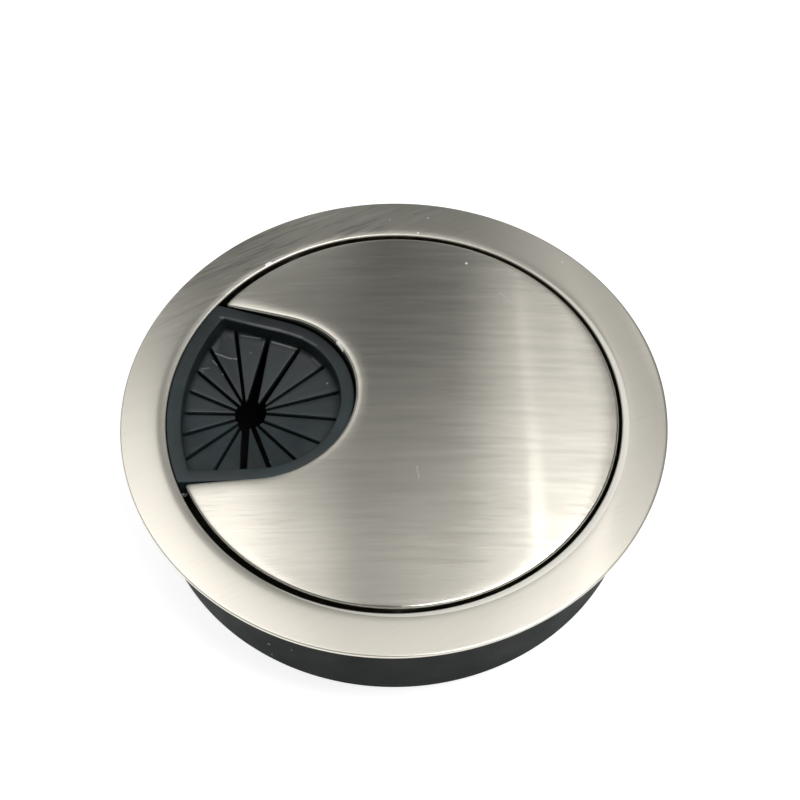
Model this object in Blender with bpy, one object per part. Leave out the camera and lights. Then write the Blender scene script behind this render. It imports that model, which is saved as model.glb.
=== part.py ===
"""Desk cable grommet for an 80 mm hole: trim ring, sleeve, domed lid and slit insert.

Metres, +Z up. The origin is the centre of the sleeve's lower end, and the lid's bay opens towards -X.
"""

import math

import bmesh
import bpy
from mathutils import Vector
from mathutils.geometry import delaunay_2d_cdt

# Desk hole that the grommet is made for
HOLE_DIAMETER = 0.080
HOLE_CLEARANCE = 0.00045
FLANGE_OVERLAP = 0.0040
DEPTH_IN_DESK = 0.0188

# Fits between the pieces
SEAT_GAP = 0.0003
LID_GAP = 0.0008
# The loose lid lies this far off the axis, away from its bay
LID_SHIFT = 0.0003

# Trim ring
FLANGE_EDGE = 0.0005
FLANGE_CROWN = 0.0003
FLANGE_ROLL = 0.0020
FLANGE_RELIEF = 0.00015
MOUTH_BAND_WIDTH = 0.00145
MOUTH_BAND_DROP = 0.0002
MOUTH_BAND_ROUND = 0.0020
MOUTH_EDGE_ROUND = 0.00035
COLLAR_WALL = 0.0013
COLLAR_DEPTH = 0.0047
COLLAR_CHAMFER = 0.0003
COLLAR_ROOT_ROUND = 0.0003

# Snap bead round the collar and its groove in the sleeve
SNAP_HEIGHT = 0.0004
SNAP_WIDTH = 0.0008
SNAP_DROP = 0.0026

# Sleeve
SLEEVE_WALL = 0.0020
SOCKET_WALL = 0.00125
LEDGE_WIDTH = 0.0052
LEDGE_THICKNESS = 0.0020
LEDGE_ROUND = 0.0005
SLEEVE_CHAMFER = 0.0004

# Lid
LID_EDGE_RISE = 0.0003
LID_DOME_RISE = 0.00205
LID_EDGE_ROUND = 0.0005
LID_PLATE = 0.0016
LID_WALL = 0.0015
LID_FOOT_CHAMFER = 0.0003
DOME_RING_SPACING = 0.0058

# Bay in the lid: a round end, centred this far inside the lid's rim, that flares towards the rim
BAY_SETBACK = 0.0132
BAY_RADIUS = 0.0161
BAY_FLARE = math.radians(9.8)
BAY_CORNER_ROUND = 0.0005
INNER_CORNER_ROUND = 0.0003

# Slit insert
RIM_WIDTH = 0.0022
RIM_RISE = 0.0001
RIM_OUTER_ROUND = 0.0002
RIM_INNER_BEVEL = 0.0003
INSERT_CORNER_ROUND = 0.0006
INSERT_BEAD_HEIGHT = 0.0005
INSERT_BEAD_WIDTH = 0.0009
INSERT_BEAD_DROP = 0.0037
WELL_DEPTH = 0.0033

# Fingers of the insert
FINGER_COUNT = 17
FINGER_HOLE_OFFSET = 0.00135
FINGER_HOLE_DIAMETER = 0.0052
FINGER_DROOP = 0.0019
FINGER_THICKNESS = 0.0009
FINGER_BEVEL = 0.0002
FINGER_ROOT_FILLET = 0.0003
FINGER_ROOT_BITE = 0.0010
FINGER_TIP_WIDTH = 0.00025
SLIT_WIDTH = 0.00045
FINGER_TIP_THICKNESS_SHARE = 0.7
FINGER_STATION_SHARES = (0, 0.33, 0.67, 1)
FINGER_COLUMN_SHARES = (0.3, 0.5, 0.7)
TIP_BEVEL_SHARE = 0.25
# Slits that have opened or leaned in use, as shares of the slit width:
# width at the root, width at the tip, lean at the root, lean at the tip
USED_SLIT_SHARES = {
    0: (1.0, 1.0, -0.9, 1.2),
    1: (1.0, 1.0, -0.9, 0.7),
    3: (1.2, 2.0, 0.6, -0.6),
    4: (1.4, 4.0, 1.5, 0.8),
    5: (1.0, 1.0, 1.6, 1.7),
    6: (1.0, 1.0, 0.7, 0.3),
    9: (1.0, 1.0, 1.1, -0.5),
    10: (1.0, 1.0, 1.2, 0.0),
    12: (1.0, 1.0, 0.2, -1.0),
    13: (2.2, 2.8, 0.0, -1.3),
    14: (1.3, 1.8, -0.6, -0.7),
    15: (1.0, 1.0, -1.0, -0.9),
    16: (1.0, 1.0, -0.9, -0.3),
}
PLAIN_SLIT_SHARES = (1.0, 1.0, 0.0, 0.0)

# Facets
TURNED_SEGMENTS = 80
ARC_STEPS = 3
ROLL_STEPS = 4
BAY_END_STEPS = 14
BAY_SIDE_STEPS = 3
CORNER_STEPS = 4
LID_RIM_STEPS = 36
INSERT_RIM_STEPS = 9
EDGE_STEPS = 3
REACH_HALVINGS = 30
SMOOTH_ANGLE = math.radians(35)
MERGE_DISTANCE = 0.000001

# Radii and levels that follow from the sizes above
FLANGE_RADIUS = HOLE_DIAMETER / 2 + FLANGE_OVERLAP
SLEEVE_RADIUS = HOLE_DIAMETER / 2 - HOLE_CLEARANCE
LAND_RADIUS = SLEEVE_RADIUS + SEAT_GAP
LOWER_BORE_RADIUS = SLEEVE_RADIUS - SLEEVE_WALL
SOCKET_RADIUS = SLEEVE_RADIUS - SOCKET_WALL
LEDGE_BORE_RADIUS = SOCKET_RADIUS - LEDGE_WIDTH
COLLAR_RADIUS = SOCKET_RADIUS - SEAT_GAP
OPENING_RADIUS = COLLAR_RADIUS - COLLAR_WALL
LID_RADIUS = OPENING_RADIUS - LID_GAP
BAY_CENTRE = LID_RADIUS - LID_SHIFT - BAY_SETBACK
INSERT_RADIUS = OPENING_RADIUS - SEAT_GAP
INSERT_WALL_RADIUS = BAY_RADIUS - SEAT_GAP
WELL_RIM_RADIUS = INSERT_RADIUS - RIM_WIDTH
WELL_WALL_RADIUS = INSERT_WALL_RADIUS - RIM_WIDTH
FINGER_HOLE_CENTRE = BAY_CENTRE + FINGER_HOLE_OFFSET

DESK_LEVEL = DEPTH_IN_DESK
FLANGE_EDGE_LEVEL = DESK_LEVEL + FLANGE_EDGE
FLANGE_TOP_LEVEL = FLANGE_EDGE_LEVEL + FLANGE_CROWN
COLLAR_FOOT_LEVEL = DESK_LEVEL - COLLAR_DEPTH
LEDGE_LEVEL = COLLAR_FOOT_LEVEL - SEAT_GAP
SNAP_LEVEL = DESK_LEVEL - SNAP_DROP
LID_EDGE_LEVEL = FLANGE_EDGE_LEVEL + LID_EDGE_RISE
FOOT_LEVEL = LEDGE_LEVEL + SEAT_GAP
RIM_LEVEL = FLANGE_EDGE_LEVEL + RIM_RISE
BEAD_LEVEL = RIM_LEVEL - INSERT_BEAD_DROP
FINGER_LEVEL = RIM_LEVEL - WELL_DEPTH
DOME_RADIUS = (LID_RADIUS**2 + LID_DOME_RISE**2) / (2 * LID_DOME_RISE)

# Plan points
AXIS = Vector((0, 0))
LID_CENTRE = Vector((LID_SHIFT, 0))

# Side of the bay's wall that a piece lies on
OUTSIDE_BAY = 1
INSIDE_BAY = -1


def clear_scene():
    for item in list(bpy.data.objects):
        bpy.data.objects.remove(item, do_unlink=True)


def make_material(name, colour, roughness, metallic):
    material = bpy.data.materials.new(name)
    material.use_nodes = True
    shader = material.node_tree.nodes["Principled BSDF"]
    shader.inputs["Base Color"].default_value = (*colour, 1)
    shader.inputs["Roughness"].default_value = roughness
    shader.inputs["Metallic"].default_value = metallic
    return material


def brushed_nickel(name, roughness):
    return make_material(name, colour=(0.58, 0.56, 0.51), roughness=roughness, metallic=1)


def black_plastic():
    return make_material("black_plastic", colour=(0.035, 0.036, 0.034), roughness=0.5, metallic=0)


def black_rubber():
    return make_material("black_rubber", colour=(0.028, 0.031, 0.034), roughness=0.6, metallic=0)


def add_object(name, bm, material):
    """An object with closed, outward faces, shaded smooth up to the angle of a real edge."""
    bmesh.ops.remove_doubles(bm, verts=bm.verts, dist=MERGE_DISTANCE)
    bmesh.ops.recalc_face_normals(bm, faces=bm.faces)
    mesh = bpy.data.meshes.new(name)
    bm.to_mesh(mesh)
    bm.free()
    mesh.materials.append(material)
    mesh.shade_smooth()
    mesh.set_sharp_from_angle(angle=SMOOTH_ANGLE)
    made = bpy.data.objects.new(name, mesh)
    bpy.context.scene.collection.objects.link(made)
    return made


def arc(centre, radius, start, end, steps):
    """Points on an arc in plan or in a profile, both ends included."""
    angles = [start + (end - start) * i / steps for i in range(steps + 1)]
    return [centre + radius * Vector((math.cos(a), math.sin(a))) for a in angles]


def shortest_turn(start, end):
    return (end - start + math.pi) % math.tau - math.pi


def rounded_profile(corners):
    """A closed profile from (radius, level, round) corners, each round turned into a short arc."""
    points = []
    count = len(corners)
    for index, (x, y, rounding) in enumerate(corners):
        corner = Vector((x, y))
        if not rounding:
            points.append(corner)
            continue
        before = (Vector(corners[index - 1][:2]) - corner).normalized()
        after = (Vector(corners[(index + 1) % count][:2]) - corner).normalized()
        half_angle = before.angle(after) / 2
        centre = corner + (before + after).normalized() * (rounding / math.sin(half_angle))
        to_start = corner + before * (rounding / math.tan(half_angle)) - centre
        to_end = corner + after * (rounding / math.tan(half_angle)) - centre
        start = math.atan2(to_start.y, to_start.x)
        turn = shortest_turn(start, math.atan2(to_end.y, to_end.x))
        points += arc(centre, rounding, start, start + turn, ARC_STEPS)
    return points


def turned_object(name, profile, material):
    """A ring from a closed profile of (radius, level) points, spun about Z."""
    bm = bmesh.new()
    verts = [bm.verts.new((point.x, 0, point.y)) for point in profile]
    edges = [bm.edges.new((a, b)) for a, b in zip(verts, verts[1:] + verts[:1])]
    bmesh.ops.spin(
        bm,
        geom=verts + edges,
        cent=(0, 0, 0),
        axis=(0, 0, 1),
        angle=math.tau,
        steps=TURNED_SEGMENTS,
        use_merge=True,
    )
    return add_object(name, bm, material)


def snap_shape(radius, growth):
    """The bead on a cylinder wall of this radius, or with growth the groove that clears it, top to bottom."""
    half = SNAP_WIDTH / 2 + growth
    crest = half - SNAP_HEIGHT / 2
    return [
        (radius, SNAP_LEVEL + half, 0),
        (radius + SNAP_HEIGHT, SNAP_LEVEL + crest, 0),
        (radius + SNAP_HEIGHT, SNAP_LEVEL - crest, 0),
        (radius, SNAP_LEVEL - half, 0),
    ]


def flange_roll():
    """The flange's outer band, which falls from the flat top to the thin edge as a quarter of an ellipse."""
    points = []
    for step in range(1, ROLL_STEPS + 1):
        angle = math.pi / 2 * step / ROLL_STEPS
        radius = FLANGE_RADIUS - FLANGE_ROLL * (1 - math.sin(angle))
        level = FLANGE_TOP_LEVEL - FLANGE_CROWN * (1 - math.cos(angle))
        points.append(Vector((radius, level)))
    return points


def make_trim_ring():
    """Flange with a rolled-off outer edge, a sloping band round its mouth, and the collar for the sleeve."""
    mouth = rounded_profile(
        [
            (OPENING_RADIUS, COLLAR_FOOT_LEVEL, 0),
            (OPENING_RADIUS, FLANGE_TOP_LEVEL - MOUTH_BAND_DROP, MOUTH_EDGE_ROUND),
            (OPENING_RADIUS + MOUTH_BAND_WIDTH, FLANGE_TOP_LEVEL, MOUTH_BAND_ROUND),
            (FLANGE_RADIUS - FLANGE_ROLL, FLANGE_TOP_LEVEL, 0),
        ]
    )
    below = rounded_profile(
        [
            (FLANGE_RADIUS, DESK_LEVEL, 0),
            (LAND_RADIUS, DESK_LEVEL, 0),
            (LAND_RADIUS, DESK_LEVEL + FLANGE_RELIEF, 0),
            (COLLAR_RADIUS, DESK_LEVEL + FLANGE_RELIEF, COLLAR_ROOT_ROUND),
            *snap_shape(COLLAR_RADIUS, growth=0),
            (COLLAR_RADIUS, COLLAR_FOOT_LEVEL + COLLAR_CHAMFER, 0),
            (COLLAR_RADIUS - COLLAR_CHAMFER, COLLAR_FOOT_LEVEL, 0),
        ]
    )
    profile = mouth + flange_roll() + below
    return turned_object("trim_ring", profile, brushed_nickel("ring_nickel", roughness=0.34))


def make_sleeve():
    """Tube for the desk hole: socket for the collar, ledge for the lid and the insert, open lower end."""
    top = DESK_LEVEL - SEAT_GAP
    underside = LEDGE_LEVEL - LEDGE_THICKNESS
    profile = rounded_profile(
        [
            (SLEEVE_RADIUS - SLEEVE_CHAMFER, 0, 0),
            (SLEEVE_RADIUS, SLEEVE_CHAMFER, 0),
            (SLEEVE_RADIUS, top - SLEEVE_CHAMFER, 0),
            (SLEEVE_RADIUS - SLEEVE_CHAMFER, top, 0),
            (SOCKET_RADIUS, top, 0),
            *snap_shape(SOCKET_RADIUS, growth=SEAT_GAP),
            (SOCKET_RADIUS, LEDGE_LEVEL, 0),
            (LEDGE_BORE_RADIUS, LEDGE_LEVEL, LEDGE_ROUND),
            (LEDGE_BORE_RADIUS, underside, LEDGE_ROUND),
            (LOWER_BORE_RADIUS, underside, LEDGE_ROUND),
            (LOWER_BORE_RADIUS, SLEEVE_CHAMFER, 0),
            (LOWER_BORE_RADIUS + SLEEVE_CHAMFER, 0, 0),
        ]
    )
    return turned_object("sleeve", profile, black_plastic())


def half_outline(side, rim_centre, rim_radius, wall_radius, rounding, rim_steps):
    """Plan outline above the X axis: round end of the bay, its flared side, the corner and the rim arc."""
    centre = Vector((-BAY_CENTRE, 0))
    outward = Vector((math.sin(BAY_FLARE), math.cos(BAY_FLARE)))
    along = Vector((-math.cos(BAY_FLARE), math.sin(BAY_FLARE)))
    start = centre + outward * (wall_radius + side * rounding) - rim_centre
    reach = rim_radius - rounding
    run = -start.dot(along) + math.sqrt(start.dot(along) ** 2 - start.dot(start) + reach**2)
    corner = start + along * run
    to_wall = -side * outward
    first = math.atan2(to_wall.y, to_wall.x)
    turn = shortest_turn(first, math.atan2(corner.y, corner.x))
    corner_points = arc(rim_centre + corner, rounding, first, first + turn, CORNER_STEPS)
    end_points = arc(centre, wall_radius, 0, math.pi / 2 - BAY_FLARE, BAY_END_STEPS)
    side_points = [
        end_points[-1].lerp(corner_points[0], i / BAY_SIDE_STEPS) for i in range(1, BAY_SIDE_STEPS)
    ]
    last = 0 if side == OUTSIDE_BAY else math.pi
    rim_points = arc(rim_centre, rim_radius, math.atan2(corner.y, corner.x), last, rim_steps)
    return end_points + side_points + corner_points + rim_points[1:]


def full_outline(half):
    return half + [Vector((point.x, -point.y)) for point in reversed(half[1:-1])]


def lid_outline(inset, wall_growth):
    """The lid's plan, with its rim moved in by inset and the bay's wall moved back by wall_growth."""
    rounding = max(BAY_CORNER_ROUND - inset, INNER_CORNER_ROUND)
    rim_radius = LID_RADIUS - inset
    wall_radius = BAY_RADIUS + wall_growth
    return full_outline(
        half_outline(OUTSIDE_BAY, LID_CENTRE, rim_radius, wall_radius, rounding, LID_RIM_STEPS)
    )


def insert_outline(inset, bead):
    """The insert's plan, moved in by inset, with its bay walls moved out by bead."""
    rounding = max(INSERT_CORNER_ROUND - inset, INNER_CORNER_ROUND)
    rim_radius = INSERT_RADIUS - inset
    wall_radius = INSERT_WALL_RADIUS - inset + bead
    return full_outline(half_outline(INSIDE_BAY, AXIS, rim_radius, wall_radius, rounding, INSERT_RIM_STEPS))


def add_loop(bm, outline, level):
    """One closed row of vertices. The level is a height, or a function of the plan point."""
    height = level if callable(level) else lambda point: level
    return [bm.verts.new((point.x, point.y, height(point))) for point in outline]


def bridge_rows(bm, rows, closed):
    """Faces between each row and the next, and from the last to the first where closed."""
    pairs = list(zip(rows, rows[1:]))
    if closed:
        pairs.append((rows[-1], rows[0]))
    for lower, upper in pairs:
        for i in range(len(lower)):
            bm.faces.new((lower[i - 1], lower[i], upper[i], upper[i - 1]))


def dome_height(point):
    """Level of the lid's outer face."""
    sag = DOME_RADIUS - math.sqrt(DOME_RADIUS**2 - (point - LID_CENTRE).length_squared)
    return LID_EDGE_LEVEL + LID_DOME_RISE - sag


def inside_height(point):
    return dome_height(point) - LID_PLATE


def beyond_bay(point, wall_radius):
    """How far a plan point lies outside the bay's wall. Negative inside the bay."""
    outward = -BAY_CENTRE - point.x
    across = abs(point.y)
    if outward * math.cos(BAY_FLARE) + across * math.sin(BAY_FLARE) < 0:
        return math.hypot(outward, across) - wall_radius
    return across * math.cos(BAY_FLARE) - outward * math.sin(BAY_FLARE) - wall_radius


def dome_points(rim_radius, wall_radius):
    """Plan points in rings over the lid, each clear of its rim and of the bay by half the ring spacing."""
    margin = DOME_RING_SPACING / 2
    points = [LID_CENTRE]
    for ring in range(1, math.ceil((rim_radius - margin) / DOME_RING_SPACING)):
        points += arc(LID_CENTRE, ring * DOME_RING_SPACING, 0, math.tau, round(math.tau * ring))[1:]
    return [point for point in points if beyond_bay(point, wall_radius) > margin]


def close_with_dome(bm, row, rim_radius, wall_radius, height):
    """Fills a row of the lid with triangles whose inner points lie on the dome."""
    extra = dome_points(rim_radius, wall_radius)
    plan = [Vector(vert.co[:2]) for vert in row] + extra
    count = len(row)
    ring = [(i, (i + 1) % count) for i in range(count)]
    triangles = delaunay_2d_cdt(plan, ring, [], 1, MERGE_DISTANCE)[2]
    verts = row + [bm.verts.new((point.x, point.y, height(point))) for point in extra]
    for triangle in triangles:
        bm.faces.new([verts[i] for i in triangle])


def lid_edge_rows(bm):
    """The rounded upper edge, from the wall to the dome."""
    rows = []
    for step in range(EDGE_STEPS + 1):
        angle = math.pi / 2 * step / EDGE_STEPS
        inset = LID_EDGE_ROUND * (1 - math.cos(angle))
        drop = LID_EDGE_ROUND * (1 - math.sin(angle))
        outline = lid_outline(inset, inset)
        rows.append(add_loop(bm, outline, lambda point: dome_height(point) - drop))
    return rows


def make_lid():
    """Domed plate with a skirt that runs round its rim and the bay, and a groove for the insert's bead."""
    bm = bmesh.new()
    half = INSERT_BEAD_WIDTH / 2 + SEAT_GAP
    crest = half - INSERT_BEAD_HEIGHT
    wall = lid_outline(0, 0)
    groove = lid_outline(0, INSERT_BEAD_HEIGHT)
    inside = lid_outline(LID_WALL, LID_WALL)
    rows = [
        add_loop(bm, inside, inside_height),
        add_loop(bm, inside, FOOT_LEVEL),
        add_loop(bm, lid_outline(LID_FOOT_CHAMFER, LID_FOOT_CHAMFER), FOOT_LEVEL),
        add_loop(bm, wall, FOOT_LEVEL + LID_FOOT_CHAMFER),
        add_loop(bm, wall, BEAD_LEVEL - half),
        add_loop(bm, groove, BEAD_LEVEL - crest),
        add_loop(bm, groove, BEAD_LEVEL + crest),
        add_loop(bm, wall, BEAD_LEVEL + half),
        *lid_edge_rows(bm),
    ]
    bridge_rows(bm, rows, closed=False)
    close_with_dome(bm, rows[-1], LID_RADIUS - LID_EDGE_ROUND, BAY_RADIUS + LID_EDGE_ROUND, dome_height)
    close_with_dome(bm, rows[0], LID_RADIUS - LID_WALL, BAY_RADIUS + LID_WALL, inside_height)
    return add_object("lid", bm, brushed_nickel("lid_nickel", roughness=0.3))


def insert_rim():
    """The insert's frame: rim, well wall, and the bead that snaps into the lid."""
    bm = bmesh.new()
    half = INSERT_BEAD_WIDTH / 2
    crest = half - INSERT_BEAD_HEIGHT / 2
    wall = insert_outline(0, 0)
    bead = insert_outline(0, INSERT_BEAD_HEIGHT)
    well = insert_outline(RIM_WIDTH, 0)
    rows = [
        add_loop(bm, well, FOOT_LEVEL),
        add_loop(bm, wall, FOOT_LEVEL),
        add_loop(bm, wall, BEAD_LEVEL - half),
        add_loop(bm, bead, BEAD_LEVEL - crest),
        add_loop(bm, bead, BEAD_LEVEL + crest),
        add_loop(bm, wall, BEAD_LEVEL + half),
        add_loop(bm, wall, RIM_LEVEL - RIM_OUTER_ROUND),
        add_loop(bm, insert_outline(RIM_OUTER_ROUND, 0), RIM_LEVEL),
        add_loop(bm, insert_outline(RIM_WIDTH - RIM_INNER_BEVEL, 0), RIM_LEVEL),
        add_loop(bm, well, RIM_LEVEL - RIM_INNER_BEVEL),
    ]
    bridge_rows(bm, rows, closed=True)
    return bm


def well_reach(origin, direction):
    """Distance from a plan point in the well to the well's wall, found by halving."""
    near = 0
    far = FLANGE_RADIUS
    for _ in range(REACH_HALVINGS):
        middle = (near + far) / 2
        point = origin + direction * middle
        if point.length < WELL_RIM_RADIUS and beyond_bay(point, WELL_WALL_RADIUS) < 0:
            near = middle
        else:
            far = middle
    return near


def slit_edge(index, side):
    """The edge of one slit in plan, on one side of it: its points at the hole and at the well's wall."""
    shares = USED_SLIT_SHARES.get(index % FINGER_COUNT, PLAIN_SLIT_SHARES)
    root_width_share, tip_width_share, root_lean_share, tip_lean_share = shares
    angle = math.tau * index / FINGER_COUNT
    direction = Vector((math.cos(angle), math.sin(angle)))
    across = Vector((-direction.y, direction.x)) * SLIT_WIDTH
    centre = Vector((-FINGER_HOLE_CENTRE, 0))
    tip = centre + direction * (FINGER_HOLE_DIAMETER / 2)
    root = centre + direction * well_reach(centre, direction)
    tip += across * (tip_lean_share + side * tip_width_share / 2)
    root += across * (root_lean_share + side * root_width_share / 2)
    return tip, root


def finger_column(tip, outward, lowered):
    """Top and bottom points along one line of a finger, from inside the wall to the tip."""
    length = well_reach(tip, outward)
    free_length = length - FINGER_ROOT_FILLET
    stations = [(length + FINGER_ROOT_BITE, FINGER_ROOT_FILLET), (length, FINGER_ROOT_FILLET)]
    stations += [(free_length * (1 - share), 0) for share in FINGER_STATION_SHARES]
    top = []
    bottom = []
    for run, lift in stations:
        plan = tip + outward * run
        slope = max(1 - run / free_length, 0)
        level = FINGER_LEVEL - FINGER_DROOP * slope
        thickness = FINGER_THICKNESS * (1 - (1 - FINGER_TIP_THICKNESS_SHARE) * slope)
        top.append((plan.x, plan.y, level + lift - lowered))
        bottom.append((plan.x, plan.y, level - thickness))
    return top, bottom


def finger_columns(index):
    """The lines that span one finger, from one bevelled edge to the other."""
    tip_a, root_a = slit_edge(index, side=1)
    tip_b, root_b = slit_edge(index + 1, side=-1)
    root_width = (root_b - root_a).length
    tip_width = (tip_b - tip_a).dot(root_b - root_a) / root_width
    # Beside an opened slit the tip lies further out, where the finger is wide enough
    shortening = max((FINGER_TIP_WIDTH - tip_width) / (root_width - tip_width), 0)
    tip_a = tip_a.lerp(root_a, shortening)
    tip_b = tip_b.lerp(root_b, shortening)
    tip_bevel = min(FINGER_BEVEL / (tip_b - tip_a).length, TIP_BEVEL_SHARE)
    root_bevel = FINGER_BEVEL / root_width
    shares = [(0, 0), (tip_bevel, root_bevel)]
    shares += [(share, share) for share in FINGER_COLUMN_SHARES]
    shares += [(1 - tip_bevel, 1 - root_bevel), (1, 1)]
    columns = []
    for tip_share, root_share in shares:
        tip = tip_a.lerp(tip_b, tip_share)
        outward = (root_a.lerp(root_b, root_share) - tip).normalized()
        columns.append(finger_column(tip, outward, FINGER_BEVEL if tip_share in (0, 1) else 0))
    return columns


def add_finger(bm, index):
    """One closed finger, as a shell of four sides over its length with a cap at each end."""
    rows = []
    columns = finger_columns(index)
    for station in range(len(columns[0][0])):
        over = [bm.verts.new(top[station]) for top, _ in columns]
        under = [bm.verts.new(bottom[station]) for _, bottom in reversed(columns)]
        rows.append(over + under)
    bridge_rows(bm, rows, closed=False)
    for row in (rows[0], rows[-1]):
        half = len(row) // 2
        for i in range(half - 1):
            bm.faces.new((row[i], row[i + 1], row[-2 - i], row[-1 - i]))


def insert_fingers():
    bm = bmesh.new()
    for index in range(FINGER_COUNT):
        add_finger(bm, index)
    return bm


def make_flap_insert():
    """The soft moulding: frame and slit fingers in one piece."""
    material = black_rubber()
    insert = add_object("flap_insert", insert_rim(), material)
    fingers = add_object("finger_shapes", insert_fingers(), material)
    fingers.hide_render = True
    fingers.display_type = "WIRE"
    join = insert.modifiers.new("join_fingers", "BOOLEAN")
    join.operation = "UNION"
    join.solver = "EXACT"
    join.object = fingers
    return insert


def main():
    clear_scene()
    make_trim_ring()
    make_sleeve()
    make_lid()
    make_flap_insert()


main()
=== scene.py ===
import math

import bmesh
import bpy
from mathutils import Matrix, Vector
from mathutils.geometry import delaunay_2d_cdt


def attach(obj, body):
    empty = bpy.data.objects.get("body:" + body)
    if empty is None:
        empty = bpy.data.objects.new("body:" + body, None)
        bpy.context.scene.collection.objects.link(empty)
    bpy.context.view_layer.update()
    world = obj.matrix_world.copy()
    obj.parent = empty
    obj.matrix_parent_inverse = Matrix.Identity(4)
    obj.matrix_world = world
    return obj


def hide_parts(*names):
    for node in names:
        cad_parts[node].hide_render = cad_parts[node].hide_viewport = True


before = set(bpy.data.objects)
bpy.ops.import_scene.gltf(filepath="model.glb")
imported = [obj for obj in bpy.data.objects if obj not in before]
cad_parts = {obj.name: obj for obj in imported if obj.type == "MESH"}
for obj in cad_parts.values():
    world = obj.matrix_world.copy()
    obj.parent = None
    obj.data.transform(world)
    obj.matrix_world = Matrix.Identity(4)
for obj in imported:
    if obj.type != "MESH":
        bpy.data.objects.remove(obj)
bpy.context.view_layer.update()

# Desk hole and the fits between the pieces, in metres, as in the part's source
HOLE_RADIUS = 0.040
HOLE_CLEARANCE = 0.00045
FLANGE_OVERLAP = 0.0040
DESK_LEVEL = 0.0188
SEAT_GAP = 0.0003

# Trim ring. The flange falls gently outwards from its mouth band to the small round of its edge.
# The band itself rolls off more and more steeply towards the mouth.
FLANGE_EDGE = 0.0005
FLANGE_CROWN = 0.0003
FLANGE_FALL = 0.00029
FLANGE_FALL_POWER = 1.2
FLANGE_RELIEF = 0.00015
EDGE_ROUND = 0.0002
BAND_WIDTH = 0.00145
BAND_DROP = 0.0002
BAND_DROP_POWER = 3
MOUTH_ROUND = 0.00035
MOUTH_ROUND_TURN = math.radians(76)
COLLAR_WALL = 0.0013
COLLAR_DEPTH = 0.0047
COLLAR_CHAMFER = 0.0003
COLLAR_ROOT_ROUND = 0.0003
SNAP_HEIGHT = 0.0004
SNAP_HALF_WIDTH = 0.0004
SNAP_SLOPE = 0.0002
SNAP_DROP = 0.0026

# Sleeve
SLEEVE_WALL = 0.0020
SOCKET_WALL = 0.00125
LEDGE_WIDTH = 0.0052
LEDGE_THICKNESS = 0.0020
LEDGE_ROUND = 0.0005
SLEEVE_CHAMFER = 0.0004
SLEEVE_ROUND = 0.0002

# Lid. Its polished face rolls off softly towards the bay and, less, towards its own rim.
LID_GAP = 0.0008
LID_SHIFT = 0.0003
LID_EDGE_RISE = 0.0003
LID_EDGE_ROUND = 0.0004
LID_DOME_RISE = 0.00205
LID_PLATE = 0.0016
LID_WALL = 0.0015
LID_FOOT_CHAMFER = 0.0003
BAY_ROLL_WIDTH = 0.0030
BAY_ROLL_DROP = 0.00024
BAY_ROLL_POWER = 3
RIM_ROLL_WIDTH = 0.0016
RIM_ROLL_DROP = 0.00005
RIM_ROLL_POWER = 2
DOME_INSETS = (0.0006, 0.0009, 0.0012, 0.0016, 0.0020, 0.0025)
DOME_SPACING = 0.0011
INSIDE_SPACING = 0.0025
# Share of the spacing that stays free of points along an outline
MARGIN_SHARE = 0.6

# Bay in the lid: a round end, centred this far inside the lid's rim, that flares towards the rim
BAY_SETBACK = 0.0132
BAY_RADIUS = 0.0161
BAY_FLARE = math.radians(9.8)
BAY_CORNER_ROUND = 0.0005
INNER_CORNER_ROUND = 0.0003

# Slit insert. Its soft rim springs out against the ring, almost to its wall.
INSERT_GAP = 0.00015
INSERT_CORNER_ROUND = 0.0006
RIM_WIDTH = 0.0022
RIM_RISE = 0.0001
RIM_OUTER_ROUND = 0.0002
RIM_INNER_ROUND = 0.00032
BEAD_HEIGHT = 0.0005
BEAD_HALF_WIDTH = 0.00045
BEAD_CREST_HALF_WIDTH = 0.0002
BEAD_DROP = 0.0037
WELL_DEPTH = 0.0033

# Fingers of the insert
FINGER_COUNT = 17
FINGER_HOLE_OFFSET = 0.00135
FINGER_HOLE_RADIUS = 0.0026
FINGER_DROOP = 0.0019
FINGER_THICKNESS = 0.0009
FINGER_THINNING = 0.3
FINGER_BEVEL = 0.00026
FINGER_TIP_WIDTH = 0.00025
FINGER_COLUMN_SHARES = (0.3, 0.5, 0.7)
TIP_BEVEL_SHARE = 0.25
ROOT_FILLET = 0.0003
ROOT_BITE = 0.0010
SLIT_WIDTH = 0.00045
# Section of a finger's bevel: share of the bevel's width and share of its drop
BEVEL_POINTS = ((0, 1), (0.3, 0.286), (0.6, 0.083), (1, 0))
# Slits that have opened or leaned in use, as shares of the slit width:
# width at the root, width at the tip, lean at the root, lean at the tip
USED_SLITS = {
    0: (1.0, 1.0, -0.9, 1.2),
    1: (1.0, 1.0, -0.9, 0.7),
    3: (1.2, 2.0, 0.6, -0.6),
    4: (1.4, 4.0, 1.5, 0.8),
    5: (1.0, 1.0, 1.6, 1.7),
    6: (1.0, 1.0, 0.7, 0.3),
    9: (1.0, 1.0, 1.1, -0.5),
    10: (1.0, 1.0, 1.2, 0.0),
    12: (1.0, 1.0, 0.2, -1.0),
    13: (2.2, 2.8, 0.0, -1.3),
    14: (1.3, 1.8, -0.6, -0.7),
    15: (1.0, 1.0, -1.0, -0.9),
    16: (1.0, 1.0, -0.9, -0.3),
}
PLAIN_SLIT = (1, 1, 0, 0)

# Steps of the meshes
RING_SEGMENTS = 360
SLEEVE_SEGMENTS = 320
ROUND_STEPS = 7
BAND_STEPS = 12
FLANGE_STEPS = 16
EDGE_STEPS = 6
RIM_OUTER_STEPS = 4
RIM_INNER_STEPS = 5
FILLET_STEPS = 4
FINGER_STEPS = 8
REACH_HALVINGS = 30
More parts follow.
